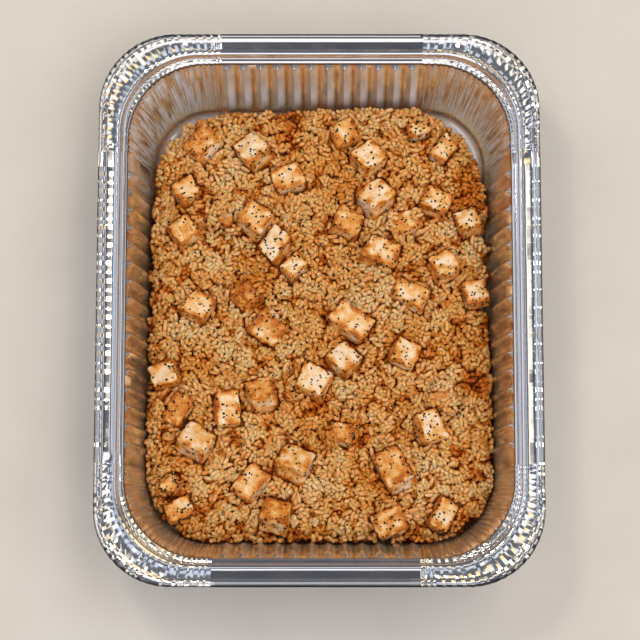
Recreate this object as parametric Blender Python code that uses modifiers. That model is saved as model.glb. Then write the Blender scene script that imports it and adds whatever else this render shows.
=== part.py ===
"""A foil tray meal: a half-size aluminium pan, a heap of fried rice in it, and diced seared chicken in the rice.

Sizes are in millimetres and become metres when each mesh is made. X runs across the tray, Y along it, and
Z up. The origin is under the middle of the tray, on the surface that it stands on.
"""

import math
import random
from collections import namedtuple

import bmesh
import bpy
from mathutils import Matrix, Vector, noise
from mathutils.geometry import delaunay_2d_cdt

MM = 0.001

# Tray
TRAY_WIDTH = 261.0
TRAY_LENGTH = 328.0
FOIL = 0.45
SIDE_STRAIGHT = 92.0
END_STRAIGHT = 60.0
SIDE_RIBS = 16
SIDE_RIB_PITCH = 10.7
END_RIBS = 12
END_RIB_PITCH = 10.0
RIB_HALF_WIDTH = 2.7
FOLDS_A_CORNER = 9
FLAT_WITHIN = math.radians(0.4)

# Each ring of the sheet's underside, from the curled edge inwards and down to the floor. The insets are from
# the tray's outer sides and ends. Ribs stand into the tray, and every second fold of a corner sinks and draws in.
Ring = namedtuple("Ring", "side_inset end_inset height corner_radius rib_depth fold_in fold_down")
TRAY_RINGS = (
    Ring(1.9, 1.9, 56.9, 43.5, 0.0, 0.0, 0.3),
    Ring(0.45, 0.45, 59.2, 45.0, 0.0, 0.5, 0.2),
    Ring(2.2, 2.2, 61.4, 45.0, 0.0, 0.0, 0.5),
    Ring(4.6, 4.6, 60.3, 45.0, 0.0, 0.0, 0.5),
    Ring(11.3, 11.3, 60.3, 45.5, 0.0, 0.0, 0.9),
    Ring(12.4, 12.4, 61.5, 46.0, 0.0, 0.0, 0.3),
    Ring(14.4, 14.4, 56.6, 46.0, 0.0, 0.0, 0.0),
    Ring(17.2, 17.2, 56.4, 45.5, 2.6, 0.8, 0.0),
    Ring(25.3, 27.2, 18.0, 41.0, 1.8, 0.9, 0.0),
    Ring(27.3, 29.6, 8.0, 38.5, 0.0, 0.0, 0.0),
    Ring(29.4, 31.8, 2.2, 36.5, 0.0, 0.0, 0.0),
    Ring(33.0, 35.4, 0.0, 34.0, 0.0, 0.0, 0.0),
)

# Rice. Its outline seen from above has four rounded corners, each given by its centre and its two radii.
HEAP_CORNERS = (
    (50.0, 72.0, 50.0, 54.5),
    (-61.5, 72.0, 39.0, 53.0),
    (-60.0, -93.0, 42.5, 41.0),
    (60.5, -93.0, 42.5, 41.0),
)
HEAP_BOTTOM = FOIL + 0.3
HEAP_HEIGHT = 24.5
MOUND_HEIGHT = 6.0
MOUND_WIDTH = 42.0
DIP_DEPTH = 4.0
DIP_WIDTH = 17.0
EDGE_FALL = 4.5
EDGE_FALL_WIDTH = 9.0
BUMP_SPACING = 6.3
BUMP_HEIGHT = 1.4
RAGGED_DEPTH = 3.4
EDGE_MARGIN = 3.4
# Inset from the outline and height of the heap's steep side, from the floor up
HEAP_SIDE = ((8.0, HEAP_BOTTOM), (0.6, 11.0), (0.0, 19.5))
SCRAP_VERTICES = 40

# Chicken
POCKET_GAP = 0.35
KNIFE_TILT = 0.07
EDGE_ROUNDING = 1.3
# Each piece of chicken: centre, turn about the vertical, direction it leans to and how far, the three sides
# of the piece, and how far its middle lies above the rice around it. Angles are in degrees, anticlockwise.
Dice = namedtuple("Dice", "x y turn leans_to lean length width height lift")
CHICKEN = (
    Dice(-69.5, 104.0, 50, 135, 22, 21, 15.5, 16, 0.5),
    Dice(-39.5, 100.0, 40, 125, 25, 17.5, 18, 16, 1.0),
    Dice(-19.0, 82.5, 20, 100, 15, 18, 15, 15, 0.5),
    Dice(-79.5, 75.5, 33, 90, 12, 15, 15, 14, -0.5),
    Dice(-80.5, 50.0, 37, 100, 12, 16.5, 15.5, 15, 1.0),
    Dice(-59.0, 61.0, -18, 90, 10, 17, 14, 12, -3.0),
    Dice(-39.0, 57.5, -33, 60, 15, 18, 17, 16, 0.5),
    Dice(-26.0, 43.0, 49, 150, 15, 18, 13.5, 14, 1.5),
    Dice(-15.0, 29.0, 43, 100, 18, 15, 12, 13, 0.0),
    Dice(15.5, 111.5, 22, 120, 10, 16, 16, 15, 0.5),
    Dice(29.5, 95.5, 42, 75, 15, 17, 17, 15, 1.5),
    Dice(34.0, 71.5, 41, 92, 25, 20, 16.5, 16, 2.0),
    Dice(69.5, 68.5, -26, 75, 15, 17.5, 15, 14, 1.0),
    Dice(52.0, 55.5, 20, 100, 15, 19, 14, 13, -2.0),
    Dice(16.5, 56.0, -25, 60, 12, 17, 16, 15, 0.5),
    Dice(90.0, 56.5, 24, 110, 22, 15, 13.5, 15, 0.5),
    Dice(37.0, 37.5, -22, 70, 12, 21, 15, 14, 0.0),
    Dice(74.0, 29.0, 30, 80, 20, 15.5, 15.5, 15, 0.5),
    Dice(74.5, 102.0, 50, 0, 12, 18, 11, 14, 1.0),
    Dice(60.0, 114.0, 10, 90, 8, 14, 9, 11, 1.5),
    Dice(-72.5, 4.5, -33, 60, 15, 16.5, 16, 14, 1.0),
    Dice(-43.0, 11.5, 35, 120, 12, 17, 15, 13, -1.5),
    Dice(-29.5, -6.5, -36, 235, 22, 19, 16.5, 15, 1.0),
    Dice(-91.0, -36.0, 17, 150, 18, 16.5, 14.5, 14, 1.0),
    Dice(-83.0, -57.0, 58, 150, 12, 19, 13, 12, 0.0),
    Dice(-34.0, -47.5, 21, 97, 32, 17, 17, 17, 1.0),
    Dice(-55.0, -56.5, 7, 20, 12, 15, 21, 14, 0.0),
    Dice(-3.5, -40.5, -22, 80, 18, 19, 17, 15, 1.0),
    Dice(-73.0, -76.5, -33, 85, 27, 20, 16, 16, 1.0),
    Dice(19.0, -4.0, -32, 60, 10, 24, 16, 15, 1.0),
    Dice(15.0, -28.0, 46, 95, 25, 16, 15.5, 15, 1.0),
    Dice(54.0, 12.0, -23, 90, 10, 21, 14, 13, 0.0),
    Dice(93.5, 13.5, 12, 100, 12, 15, 15, 14, 0.5),
    Dice(49.5, -24.0, -23, 30, 20, 16.5, 16, 15, 0.5),
    Dice(74.5, -49.5, -27, 80, 10, 16, 14, 13, -0.5),
    Dice(65.0, -67.0, 22, 30, 14, 15.5, 19, 15, 1.5),
    Dice(13.0, -71.5, -15, 90, 20, 15, 13, 12, -1.5),
    Dice(-14.5, -89.0, -27, 85, 32, 20, 17, 17, 1.5),
    Dice(-40.0, -100.0, 52, 140, 14, 22, 15, 14, 1.0),
    Dice(-25.5, -119.0, -12, 80, 24, 17, 17, 15, 0.5),
    Dice(-87.0, -101.0, 50, 60, 8, 12, 10, 10, 1.0),
    Dice(-82.5, -116.0, 20, 90, 8, 17, 13, 12, 0.0),
    Dice(44.5, -92.5, -62, 118, 18, 24, 17.5, 17, 2.5),
    Dice(72.0, -119.0, 64, 0, 12, 19, 12.5, 14, 1.0),
    Dice(41.0, -124.0, 24, 90, 8, 18.5, 15.5, 13, 1.0),
)


# Helpers

def clear_scene():
    """Removes what the scene already holds."""
    for obj in list(bpy.data.objects):
        bpy.data.objects.remove(obj, do_unlink=True)


def new_collection(name):
    """A collection of the scene with this name."""
    collection = bpy.data.collections.new(name)
    bpy.context.scene.collection.children.link(collection)
    return collection


def new_material(name, colour, roughness, metallic=0.0):
    """A Principled material of one colour."""
    material = bpy.data.materials.new(name)
    material.use_nodes = True
    shader = material.node_tree.nodes["Principled BSDF"]
    shader.inputs["Base Color"].default_value = (*colour, 1.0)
    shader.inputs["Roughness"].default_value = roughness
    shader.inputs["Metallic"].default_value = metallic
    return material


def new_object(name, shape, collection, material=None):
    """An object with this bmesh, whose millimetres become metres."""
    bmesh.ops.scale(shape, vec=(MM, MM, MM), verts=shape.verts)
    mesh = bpy.data.meshes.new(name)
    shape.to_mesh(mesh)
    shape.free()
    if material:
        mesh.materials.append(material)
    obj = bpy.data.objects.new(name, mesh)
    collection.objects.link(obj)
    return obj


def apply_modifiers(obj):
    """Makes the object's modifiers part of its mesh."""
    evaluated = obj.evaluated_get(bpy.context.evaluated_depsgraph_get())
    old_mesh = obj.data
    obj.data = bpy.data.meshes.new_from_object(evaluated)
    obj.modifiers.clear()
    bpy.data.meshes.remove(old_mesh)


# Tray

def straight_stations(reach, ribs, pitch):
    """Places along one straight wall, from -reach to reach, each with 1 on a rib's crest and 0 off it."""
    places = [(-reach, 0)]
    for index in range(ribs):
        middle = (index - (ribs - 1) / 2) * pitch
        places += [(middle - RIB_HALF_WIDTH, 0), (middle, 1), (middle + RIB_HALF_WIDTH, 0)]
    places.append((reach, 0))
    return places


def corner_stations(generator):
    """Shares of the way round one corner, unevenly spaced, each with 1 in a sunk fold and 0 between them."""
    widths = [generator.uniform(0.7, 1.3) for _ in range(2 * FOLDS_A_CORNER)]
    places = []
    passed = 0.0
    for index, width in enumerate(widths[:-1]):
        passed += width
        places.append((passed / sum(widths), 1 - index % 2))
    return places


def corner_place(share, across, along, radius, wall_reach, next_reach):
    """A point round a corner and the way out of the tray there, in the frame of the wall before the corner.

    The first coordinate runs out through that wall, and the second along it, anticlockwise.
    """
    before = along - radius - wall_reach
    arc = radius * math.pi / 2
    after = across - radius - next_reach
    travelled = share * (before + arc + after)
    if travelled < before:
        return (across, wall_reach + travelled), (1.0, 0.0)
    if travelled > before + arc:
        return (across - radius - (travelled - before - arc), along), (0.0, 1.0)
    turn = (travelled - before) / radius
    out = (math.cos(turn), math.sin(turn))
    return (across - radius + radius * out[0], along - radius + radius * out[1]), out


def ring_points(ring, straights, corners):
    """The points of one ring of the tray, anticlockwise from above."""
    half_width = TRAY_WIDTH / 2 - ring.side_inset
    half_length = TRAY_LENGTH / 2 - ring.end_inset
    points = []
    for wall in range(4):
        out = Vector((math.cos(wall * math.pi / 2), math.sin(wall * math.pi / 2)))
        round_about = Vector((-out.y, out.x))
        across, along = (half_width, half_length) if wall % 2 == 0 else (half_length, half_width)
        reach, next_reach = (SIDE_STRAIGHT, END_STRAIGHT) if wall % 2 == 0 else (END_STRAIGHT, SIDE_STRAIGHT)
        for place, rib in straights[wall % 2]:
            flat = out * (across - ring.rib_depth * rib) + round_about * place
            points.append((flat.x, flat.y, ring.height))
        for share, fold in corners[wall]:
            place, way_out = corner_place(share, across, along, ring.corner_radius, reach, next_reach)
            drawn_in = ring.fold_in * fold
            flat = out * (place[0] - drawn_in * way_out[0]) + round_about * (place[1] - drawn_in * way_out[1])
            points.append((flat.x, flat.y, ring.height - ring.fold_down * fold))
    return points


def make_tray(collection, material):
    """The pan: rings joined from the curled edge down to the floor, thickened upwards into a sheet."""
    generator = random.Random(3)
    straights = (
        straight_stations(SIDE_STRAIGHT, SIDE_RIBS, SIDE_RIB_PITCH),
        straight_stations(END_STRAIGHT, END_RIBS, END_RIB_PITCH),
    )
    corners = [corner_stations(generator) for _ in range(4)]
    shape = bmesh.new()
    rings = [[shape.verts.new(point) for point in ring_points(ring, straights, corners)] for ring in TRAY_RINGS]
    for upper, lower in zip(rings, rings[1:]):
        for index in range(len(upper)):
            after = (index + 1) % len(upper)
            shape.faces.new((upper[index], lower[index], lower[after], upper[after]))
    shape.faces.new(reversed(rings[-1]))
    shape.normal_update()
    bmesh.ops.dissolve_limit(shape, angle_limit=FLAT_WITHIN, verts=shape.verts, edges=shape.edges)
    tray = new_object("tray", shape, collection, material)
    sheet = tray.modifiers.new("foil", "SOLIDIFY")
    sheet.thickness = FOIL * MM
    sheet.offset = -1.0
    sheet.use_even_offset = True
    sheet.use_quality_normals = True
    return tray


# Chicken

def dice_middle(piece):
    """The centre of a piece of chicken."""
    return Vector((piece.x, piece.y, heap_height(piece.x, piece.y) + piece.lift))


def dice_shape(piece, number, grown):
    """A diced piece whose cuts aren't quite square, grown by this much on every face."""
    generator = random.Random(number)
    cuts = {}
    for axis, side in enumerate((piece.length, piece.width, piece.height)):
        for end in (-1, 1):
            out = Vector([generator.uniform(-KNIFE_TILT, KNIFE_TILT) for _ in range(3)])
            out[axis] = end
            cuts[axis, end] = (out.normalized(), side / 2 + grown)
    shape = bmesh.new()
    bmesh.ops.create_cube(shape, size=2.0)
    for vertex in shape.verts:
        meeting = [cuts[axis, round(vertex.co[axis])] for axis in range(3)]
        reaches = Vector([reach for _, reach in meeting])
        vertex.co = Matrix([out for out, _ in meeting]).inverted() @ reaches
    direction = math.radians(piece.leans_to)
    tip_axis = Vector((-math.sin(direction), math.cos(direction), 0.0))
    tipped = Matrix.Rotation(math.radians(piece.lean), 4, tip_axis)
    turned = Matrix.Rotation(math.radians(piece.turn), 4, "Z")
    bmesh.ops.transform(shape, matrix=Matrix.Translation(dice_middle(piece)) @ tipped @ turned, verts=shape.verts)
    return shape


def make_chicken(collection, material):
    """The pieces of chicken, each with its edges rounded off."""
    for number, piece in enumerate(CHICKEN, start=1):
        dice = new_object(f"chicken_{number:02d}", dice_shape(piece, number, 0.0), collection, material)
        rounding = dice.modifiers.new("rounding", "BEVEL")
        rounding.width = EDGE_ROUNDING * MM
        rounding.segments = 1
        rounding.limit_method = "NONE"


# Rice

def heap_outline(spacing):
    """Points round the heap at this spacing, anticlockwise from above."""
    dense = []
    for quadrant, (x, y, radius_x, radius_y) in enumerate(HEAP_CORNERS):
        for step in range(19):
            turn = math.radians(quadrant * 90 + step * 5)
            dense.append(Vector((x + radius_x * math.cos(turn), y + radius_y * math.sin(turn))))
    lengths = [(dense[(index + 1) % len(dense)] - point).length for index, point in enumerate(dense)]
    count = round(sum(lengths) / spacing)
    points = []
    edge = 0
    passed = 0.0
    for index in range(count):
        target = index * sum(lengths) / count
        while passed + lengths[edge] < target:
            passed += lengths[edge]
            edge += 1
        share = (target - passed) / lengths[edge]
        points.append(dense[edge].lerp(dense[(edge + 1) % len(dense)], share))
    return points


def inset_ring(outline, insets):
    """The outline's points moved in by these distances."""
    moved = []
    for index, point in enumerate(outline):
        along = outline[(index + 1) % len(outline)] - outline[index - 1]
        inwards = Vector((-along.y, along.x)).normalized()
        moved.append(point + inwards * insets[index])
    return moved


def edge_distance(x, y):
    """Roughly how far inside the heap's outline a point lies, from the corner ellipses that form it."""
    right = x > 0
    far = y > 0
    centre_x, centre_y, radius_x, radius_y = HEAP_CORNERS[(0 if far else 3) if right else (1 if far else 2)]
    over_x = max(0.0, (x - centre_x) * (1 if right else -1))
    over_y = max(0.0, (y - centre_y) * (1 if far else -1))
    if over_x > 0 and over_y > 0:
        return (1 - math.hypot(over_x / radius_x, over_y / radius_y)) * min(radius_x, radius_y)
    return min(radius_x - over_x, radius_y - over_y)


def heap_height(x, y):
    """Height of the rice's smooth surface: low mounds that fall off towards the edge."""
    mounds = MOUND_HEIGHT * noise.noise(Vector((x / MOUND_WIDTH, y / MOUND_WIDTH, 1.7)))
    dips = DIP_DEPTH * noise.noise(Vector((x / DIP_WIDTH, y / DIP_WIDTH, 5.3)))
    fall = EDGE_FALL * math.exp(-max(0.0, edge_distance(x, y)) / EDGE_FALL_WIDTH)
    return HEAP_HEIGHT + mounds + dips - fall


def crosses_outline(point, outline):
    """True where the point is inside the closed outline."""
    inside = False
    for index, corner in enumerate(outline):
        previous = outline[index - 1]
        if (corner.y > point.y) != (previous.y > point.y):
            share = (point.y - corner.y) / (previous.y - corner.y)
            if point.x < corner.x + share * (previous.x - corner.x):
                inside = not inside
    return inside


def lattice_points(outline, generator):
    """Places of the bumps: a lattice of triangles, each point shifted a little, kept off the outline."""
    points = []
    row_height = BUMP_SPACING * math.sqrt(3) / 2
    rows = int(TRAY_LENGTH / row_height)
    columns = int(TRAY_WIDTH / BUMP_SPACING)
    for row in range(rows):
        for column in range(columns):
            x = (column - columns / 2 + (row % 2) / 2) * BUMP_SPACING + generator.uniform(-1.1, 1.1)
            y = (row - rows / 2) * row_height + generator.uniform(-1.1, 1.1)
            point = Vector((x, y))
            clear = all((point - corner).length > EDGE_MARGIN for corner in outline)
            if clear and crosses_outline(point, outline):
                points.append(point)
    return points


def heap_shape():
    """The heap: a bumpy top over its outline, steep ragged sides and a flat bottom."""
    generator = random.Random(11)
    outline = heap_outline(BUMP_SPACING)
    rings = []
    for inset, height in HEAP_SIDE:
        insets = [inset + RAGGED_DEPTH * generator.random() for _ in outline]
        bottom = height == HEAP_BOTTOM
        heights = [height if bottom else height + generator.uniform(-1.6, 1.6) for _ in outline]
        rings.append([(*flat, level) for flat, level in zip(inset_ring(outline, insets), heights)])
    edge = [Vector(point[:2]) for point in rings[-1]]
    inner = lattice_points(edge, generator)
    loop = [(index, (index + 1) % len(edge)) for index in range(len(edge))]
    flat_points, _, triangles, originals, _, _ = delaunay_2d_cdt(edge + inner, loop, [], 1, 1e-4)
    shape = bmesh.new()
    top = []
    for point, original in zip(flat_points, originals):
        on_edge = original[0] < len(edge)
        bump = generator.uniform(-BUMP_HEIGHT, BUMP_HEIGHT)
        height = rings[-1][original[0]][2] if on_edge else heap_height(*point) + bump
        top.append(shape.verts.new((point.x, point.y, height)))
    for triangle in triangles:
        shape.faces.new([top[index] for index in triangle])
    place_of = {original[0]: vertex for vertex, original in zip(top, originals)}
    upper = [place_of[index] for index in range(len(edge))]
    for ring in reversed(rings[:-1]):
        lower = [shape.verts.new(point) for point in ring]
        for index in range(len(edge)):
            after = (index + 1) % len(edge)
            shape.faces.new((upper[index], lower[index], lower[after], upper[after]))
        upper = lower
    shape.faces.new(reversed(upper))
    bmesh.ops.recalc_face_normals(shape, faces=shape.faces)
    return shape


def drop_scraps(obj):
    """Deletes the small loose bodies that the pockets cut off the heap."""
    shape = bmesh.new()
    shape.from_mesh(obj.data)
    unseen = set(shape.verts)
    while unseen:
        body = set()
        front = [unseen.pop()]
        while front:
            vertex = front.pop()
            body.add(vertex)
            for edge in vertex.link_edges:
                other = edge.other_vert(vertex)
                if other in unseen:
                    unseen.discard(other)
                    front.append(other)
        if len(body) < SCRAP_VERTICES:
            bmesh.ops.delete(shape, geom=list(body), context="VERTS")
    shape.to_mesh(obj.data)
    shape.free()


def make_rice(collection, cutters, material):
    """The heap with a pocket cut for each piece of chicken."""
    rice = new_object("rice", heap_shape(), collection, material)
    for number, piece in enumerate(CHICKEN, start=1):
        cutter = new_object(f"pocket_{number:02d}", dice_shape(piece, number, POCKET_GAP), cutters)
        cutter.hide_render = True
        cutter.display_type = "WIRE"
    pockets = rice.modifiers.new("pockets", "BOOLEAN")
    pockets.operation = "DIFFERENCE"
    pockets.operand_type = "COLLECTION"
    pockets.collection = cutters
    pockets.solver = "EXACT"
    apply_modifiers(rice)
    drop_scraps(rice)
    return rice


def main():
    """Builds the meal."""
    clear_scene()
    parts = new_collection("foil_tray_meal")
    cutters = new_collection("cutters")
    foil = new_material("foil", (0.80, 0.81, 0.83), 0.22, metallic=1.0)
    rice = new_material("rice", (0.62, 0.38, 0.16), 0.45)
    chicken = new_material("chicken", (0.82, 0.58, 0.30), 0.5)
    make_tray(parts, foil)
    make_chicken(parts, chicken)
    make_rice(parts, cutters, rice)


main()
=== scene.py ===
"""Dresses the foil tray meal: a pleated foil pan, loose fried rice, seared diced chicken and cracked pepper.

Shapes are worked out in millimetres and become metres when each mesh is made.
"""

import math
from collections import namedtuple

import bpy
import numpy as np
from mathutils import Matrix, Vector, noise


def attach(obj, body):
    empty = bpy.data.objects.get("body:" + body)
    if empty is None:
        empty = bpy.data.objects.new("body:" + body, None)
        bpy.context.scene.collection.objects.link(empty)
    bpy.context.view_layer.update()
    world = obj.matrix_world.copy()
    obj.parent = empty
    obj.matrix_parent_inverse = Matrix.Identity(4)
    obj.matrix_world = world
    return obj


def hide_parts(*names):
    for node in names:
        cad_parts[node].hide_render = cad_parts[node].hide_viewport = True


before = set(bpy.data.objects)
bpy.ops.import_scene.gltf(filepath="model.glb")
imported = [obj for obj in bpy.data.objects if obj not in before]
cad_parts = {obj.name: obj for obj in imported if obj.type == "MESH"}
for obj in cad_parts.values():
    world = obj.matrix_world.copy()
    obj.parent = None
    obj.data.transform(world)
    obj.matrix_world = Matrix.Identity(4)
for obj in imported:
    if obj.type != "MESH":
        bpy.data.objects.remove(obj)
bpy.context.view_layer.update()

MM = 0.001

# The pan, whose sizes are the CAD model's
TRAY_WIDTH = 261.0
TRAY_LENGTH = 328.0
FOIL = 0.45
SIDE_STRAIGHT = 92.0
END_STRAIGHT = 60.0
SIDE_RIBS = 16
SIDE_RIB_PITCH = 10.7
END_RIBS = 12
END_RIB_PITCH = 10.0
RIB_HALF_WIDTH = 2.8
RIB_STATIONS = (-2.8, -0.2, 0.2, 2.8)
PLEATS_A_CORNER = 27
# Direction of each corner, in degrees of a square tray, and how crushed its wall is
CRUSHED_CORNERS = ((45.0, 0.6), (135.0, 0.8), (225.0, 0.2), (315.0, 0.15))
# The flange's sides slope down towards the curl by this share, and their ends lie flat
SIDE_FLANGE_SLOPE = 0.06
FLANGE_INSET = 11.3
FLANGE_WIDTH = 6.7
RIPPLE_PITCH = 5.35

# Rings of the foil's upper surface, from under the curled edge inwards and down to the floor. The insets are
# from the tray's sides and ends. Ribs stand into the tray; pleats draw the sheet in and down.
Ring = namedtuple("Ring", "side_inset end_inset height corner_radius rib_depth pleat_in pleat_down")
# The rim has the same inset all round and no ribs: inset, height, corner radius, pleat_in and pleat_down
EVEN_RINGS = (
    (2.6, 56.8, 43.0, 0.0, 0.2), (1.2, 57.0, 43.8, 0.2, 0.2), (0.4, 57.9, 44.5, 0.35, 0.1),
    (0.1, 59.1, 45.0, 0.25, 0.0), (0.18, 60.3, 45.0, 0.25, 0.1), (0.35, 60.95, 45.0, 0.2, 0.15),
    (0.5, 61.05, 45.0, 0.15, 0.2), (1.7, 60.78, 45.0, 0.1, 0.2), (1.95, 60.5, 45.0, 0.0, 0.1),
    (2.2, 60.9, 45.0, 0.0, 0.1), (2.5, 61.4, 45.0, 0.0, 0.3), (2.9, 61.6, 45.0, 0.0, 0.5),
    (3.3, 61.5, 45.0, 0.0, 0.4), (4.2, 61.0, 45.0, 0.0, 0.0), (5.0, 60.5, 45.0, 0.0, -0.2),
    (5.4, 60.43, 45.0, 0.0, 0.1), (7.0, 60.43, 45.1, 0.0, 1.1), (8.8, 60.43, 45.2, 0.0, 1.2),
    (10.3, 60.45, 45.4, 0.0, 1.2), (10.8, 60.8, 45.5, 0.0, 0.7), (11.2, 61.2, 45.6, 0.0, 0.3),
    (11.6, 61.35, 45.7, 0.0, 0.15), (12.0, 61.25, 45.8, 0.0, 0.15), (12.9, 60.75, 46.0, 0.1, 0.15),
    (13.25, 60.2, 46.0, 0.25, 0.1), (13.6, 58.9, 46.0, 0.4, 0.0), (13.9, 57.5, 46.0, 0.35, 0.0),
    (14.25, 57.05, 46.0, 0.2, 0.15), (14.6, 56.95, 46.0, 0.1, 0.3), (15.4, 56.65, 45.8, 0.1, 0.3),
    (15.55, 56.72, 45.8, 0.1, 0.2), (15.75, 56.66, 45.8, 0.1, 0.3), (16.6, 56.3, 45.8, 0.2, 0.3),
    (16.9, 56.1, 45.6, 0.3, 0.2), (17.15, 55.6, 45.5, 0.5, 0.1), (17.35, 54.7, 45.5, 0.65, 0.0),
)
RIM_RINGS = (
    *[Ring(inset, inset, height, radius, 0.0, *pleats) for inset, height, radius, *pleats in EVEN_RINGS],
    Ring(17.5, 17.55, 54.2, 45.4, 0.0, 0.8, 0.0),
    Ring(17.7, 17.8, 53.6, 45.3, 2.5, 0.9, 0.0),
    Ring(17.95, 18.1, 53.0, 45.2, 2.6, 0.9, 0.0),
    Ring(18.8, 19.1, 50.3, 45.0, 2.6, 0.95, 0.0),
)
WALL_TOP = Ring(19.9, 20.3, 47.0, 44.6, 2.6, 1.0, 0.0)
WALL_FOOT = Ring(25.75, 27.65, 18.1, 41.0, 1.9, 0.9, 0.0)
WALL_STEPS = 9
# The first rings, round the curled edge, are faceted in the corners
BEAD_RINGS = 15
FLOOR_RINGS = (
    Ring(26.65, 28.7, 13.5, 39.8, 1.3, 0.6, 0.0),
    Ring(27.6, 29.9, 9.0, 38.7, 0.6, 0.3, 0.0),
    Ring(28.7, 31.0, 5.2, 37.6, 0.1, 0.1, 0.0),
    Ring(30.1, 32.5, 2.4, 36.3, 0.0, 0.0, 0.0),
    Ring(32.0, 34.4, 0.95, 34.8, 0.0, 0.0, 0.0),
    Ring(34.6, 37.0, FOIL, 33.0, 0.0, 0.0, 0.0),
)
FLOOR_SCALES = (0.72, 0.36)

# The heap of rice, as in the CAD model
HEAP_CORNERS = (
    (50.0, 72.0, 50.0, 54.5),
    (-61.5, 72.0, 39.0, 53.0),
    (-60.0, -93.0, 42.5, 41.0),
    (60.5, -93.0, 42.5, 41.0),
)
HEAP_HEIGHT = 24.5
MOUND_HEIGHT = 6.0
MOUND_WIDTH = 42.0
DIP_DEPTH = 4.0
DIP_WIDTH = 17.0
EDGE_FALL = 4.5
EDGE_FALL_WIDTH = 9.0
# It stops short in these places: centre, radius and by how much
SHORT_PLACES = ((-80.0, 112.0, 34.0, 1.6), (92.0, 100.0, 24.0, 0.8))
# Its edge is ragged by about this much, and its upper edge is rounded down
RAGGED_DEPTH = 4.4
FAR_REACH = 2.6
EDGE_ROUNDING = 4.0
EDGE_ROUNDING_WIDTH = 8.0

# Grains, settled one by one on a fine raster of heights
CELL = 0.5
RASTER_LEFT = -108.0
RASTER_NEAR = -140.0
RASTER_COLUMNS = 432
RASTER_ROWS = 552
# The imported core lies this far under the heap's surface and inside its outline
CORE_DEPTH = 2.8
CORE_INSET = 4.5
CORE_FOOT = FOIL + 0.3
CORE_SIDE = 9.0
CORE_RINGS = 56
CORE_COVER = 0.6
# Grains fill the heap to just above its surface, and their tops may come this much higher
HEAP_LIFT = 0.4
GRAIN_LIFT = 1.2
NO_GRAINS = -100.0
# The upper grains' middles lie about this far above the surface: deeper grains get painted shade, browner the
# deeper they lie
UPPER_GRAINS = 0.6
GRAIN_RADIUS = 1.35
# Grains stick together: each settles as if it were this much smaller
CLOSENESS = 0.76
GRAIN_HALF_LENGTHS = (2.05, 2.55, 3.1)
YAW_STEPS = 24
PITCHES = (-50.0, -30.0, -14.0, 0.0, 14.0, 30.0, 50.0)
GRAIN_ROUNDS = 60
# The rice sticks together in clumps with clefts between them
CLUMP_SIZE = 11.0
CLEFT_DEPTH = 3.4
CLEFT_WIDTH = 0.22
CLUMP_HEIGHT = 2.2
TRIES_A_ROUND = 3000
# A place is low while it lies this far under the grains' tops, and the rounds end when few cells are low
LOW = 1.0
FEW_CELLS = 400
# Grains follow the heap's flow and slope, the slope taken this far each way, with these spreads in radians
SLOPE_REACH = 2.0
YAW_SPREAD = 0.55
RISE_SPREAD = 0.5
STEEPEST = 0.95
# A grain stays where its top comes no higher than the heap's, give or take, and shows unless others bury it
HALF_SUNK = 0.9
STANDING_PROUD = 1.1
SEEN_DEPTH = 0.35
# The pieces that the grains make, from pale to brown
TONES = ("pale", "tan", "golden", "amber")

# Sauce gathers in these places: centre and radius
SAUCY_SPOTS = (
    (-20.0, 118.0, 14.0),
    (-70.0, -26.0, 13.0),
    (89.0, 74.0, 14.0),
    (92.0, -41.0, 13.0),
    (-41.0, 13.0, 15.0),
)

# Chicken
DICE_DIVISIONS = 18
DICE_ROUNDNESS = 12.0
# Faces whose directions agree this closely are parts of one cut
SAME_PLANE = 0.999
# How seared each piece looks from above and from its left, right and near sides, from 0 for a pale cut to 1
# for dark brown crust, in the order of their numbers
Sear = namedtuple("Sear", "top left right near")
SEARS = [Sear(*row) for row in (
    (0.5, 0.6, 0.12, 0.2), (0.0, 0.3, 0.62, 0.6), (0.3, 0.6, 0.5, 0.15), (0.3, 0.6, 0.5, 0.6),
    (0.3, 0.8, 0.4, 0.4), (0.45, 0.6, 0.5, 0.5), (0.3, 0.6, 0.3, 0.2), (0.05, 0.5, 0.62, 0.4),
    (0.2, 0.3, 0.3, 0.3), (0.45, 0.6, 0.6, 0.6), (0.1, 0.8, 0.5, 0.3), (0.15, 0.2, 0.5, 0.3),
    (0.3, 0.85, 0.4, 0.7), (0.5, 0.5, 0.4, 0.4), (0.4, 0.6, 0.6, 0.5), (0.2, 0.6, 0.6, 0.4),
    (0.35, 0.6, 0.5, 0.5), (0.2, 0.6, 0.6, 0.5), (0.35, 0.4, 0.4, 0.3), (0.4, 0.4, 0.4, 0.3),
    (0.25, 0.6, 0.5, 0.5), (0.8, 0.9, 0.8, 0.8), (0.45, 0.6, 0.25, 0.6), (0.05, 0.6, 0.6, 0.6),
    (0.5, 0.6, 0.6, 0.5), (0.5, 0.6, 0.5, 0.1), (0.3, 0.7, 0.2, 0.4), (0.0, 0.6, 0.4, 0.5),
    (0.1, 0.6, 0.3, 0.15), (0.35, 0.6, 0.3, 0.3), (0.05, 0.3, 0.5, 0.62), (0.3, 0.5, 0.4, 0.3),
    (0.2, 0.5, 0.4, 0.5), (0.2, 0.85, 0.4, 0.4), (0.4, 0.6, 0.5, 0.5), (0.1, 0.62, 0.3, 0.3),
    (0.5, 0.6, 0.3, 0.3), (0.3, 0.65, 0.1, 0.6), (0.3, 0.6, 0.3, 0.2), (0.7, 0.6, 0.4, 0.15),
    (0.5, 0.6, 0.6, 0.6), (0.35, 0.6, 0.6, 0.6), (0.5, 0.5, 0.3, 0.15), (0.2, 0.85, 0.3, 0.4),
    (0.45, 0.4, 0.3, 0.3),
)]
# Grains may lie over these pieces, up to this height above the rice around them
BURIED_DICE = (6, 14, 22, 35, 37)
BURIED_COVER = 7.0

# Pepper
SPECKS_A_DICE = 46
SPECKS_ON_RICE = 1500

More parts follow.
